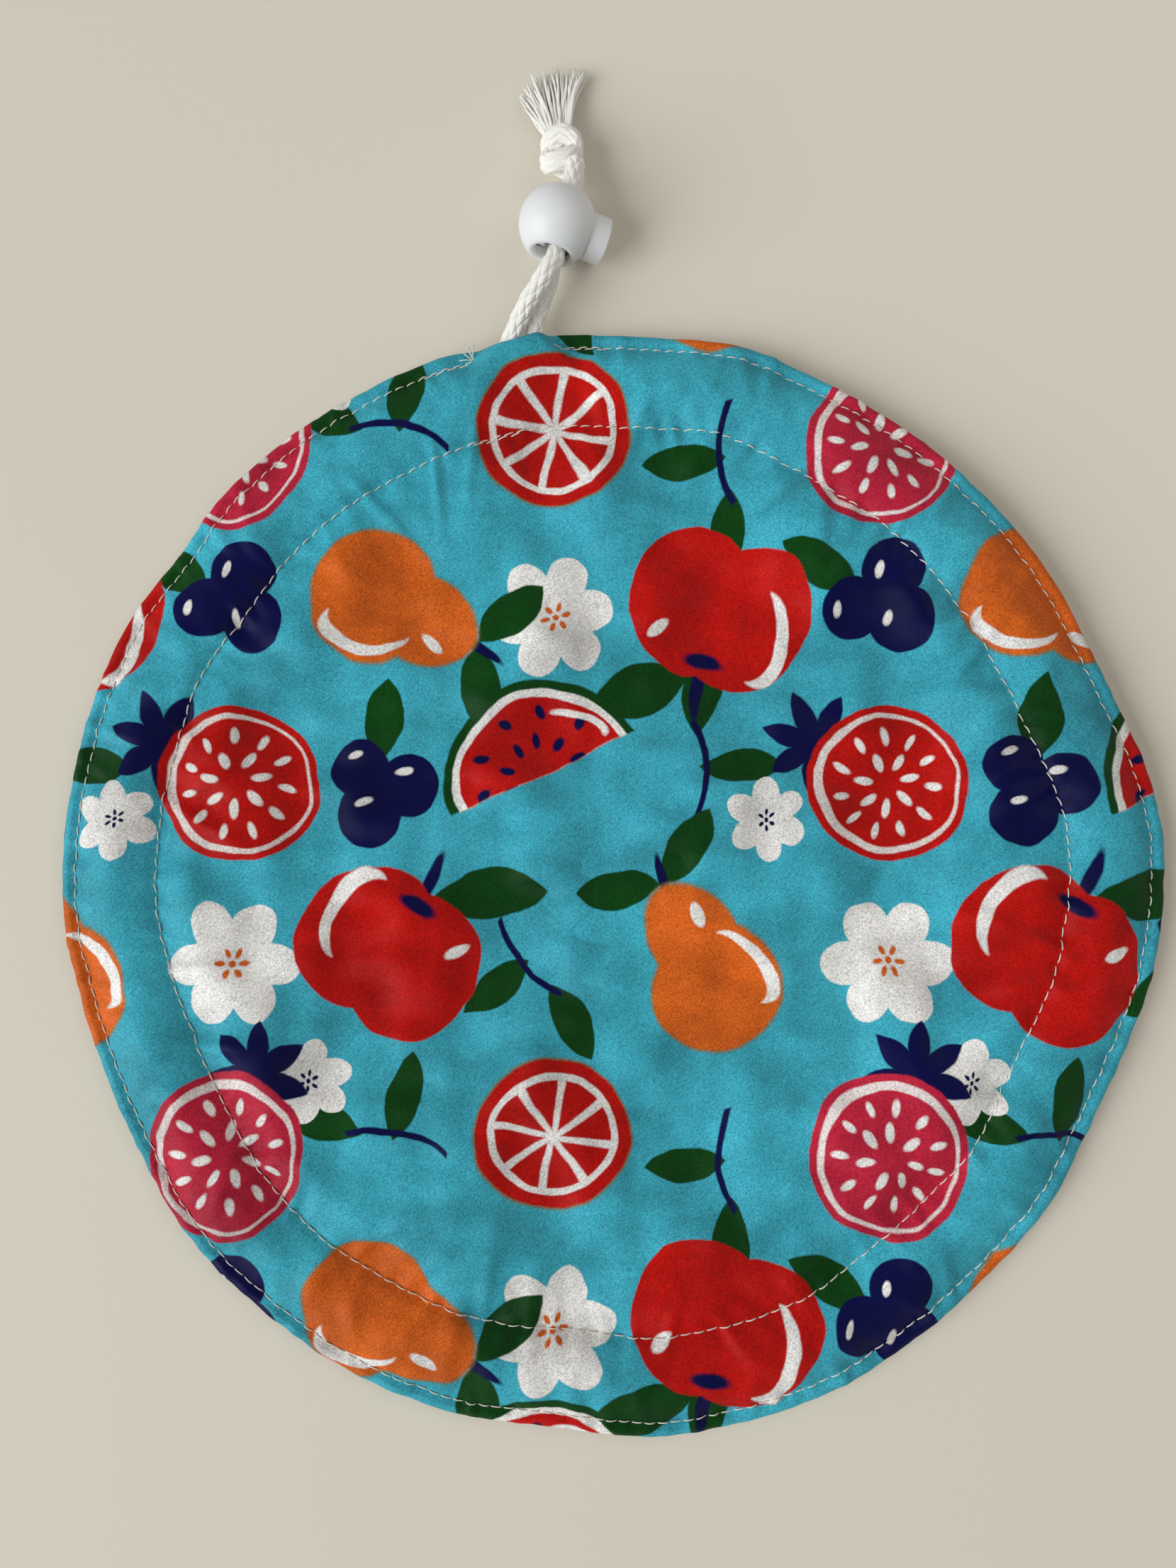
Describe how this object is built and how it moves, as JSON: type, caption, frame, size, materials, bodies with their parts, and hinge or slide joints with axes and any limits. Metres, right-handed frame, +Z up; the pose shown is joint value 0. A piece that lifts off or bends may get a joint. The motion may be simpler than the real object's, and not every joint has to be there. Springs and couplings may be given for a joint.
{
  "type": "fabric dish cover",
  "caption": "Round two-layer fabric dish cover with a gathered rim, a drawstring in a stitched casing and a push-button ball cord lock",
  "frame": {"origin": "centre of the cover on the surface that it lies on", "axes": "+Z up through the printed face; the drawstring leaves the rim on the +Y side, 10.6 degrees towards -X"},
  "size_m": [0.2456, 0.3107, 0.0176],
  "materials": {
    "printed_cotton": "printed cotton sateen, soft sheen",
    "lining_cotton": "plain woven off-white cotton",
    "cotton_cord": "soft braided off-white cotton",
    "white_plastic": "moulded, finely matt",
    "spring_steel": "bright wire"
  },
  "bodies": {
    "cover": {"face_cloth": "printed_cotton", "lining_cloth": "lining_cotton", "drawstring_loop": "cotton_cord", "cord_tail_left": "cotton_cord", "cord_tail_right": "cotton_cord", "knot": "cotton_cord", "frayed_end": "cotton_cord", "lock_body": "white_plastic", "lock_spring": "spring_steel"},
    "button": {"lock_button": "white_plastic"}
  },
  "joints": [
    {"name": "button_press", "type": "slide", "parent": "cover", "child": "button", "axis": [-0.9303, 0.1977, 0.309], "range_m": [0, 0.0018], "stiffness_N_per_m": 800, "deforming": ["lock_spring"]}
  ]
}
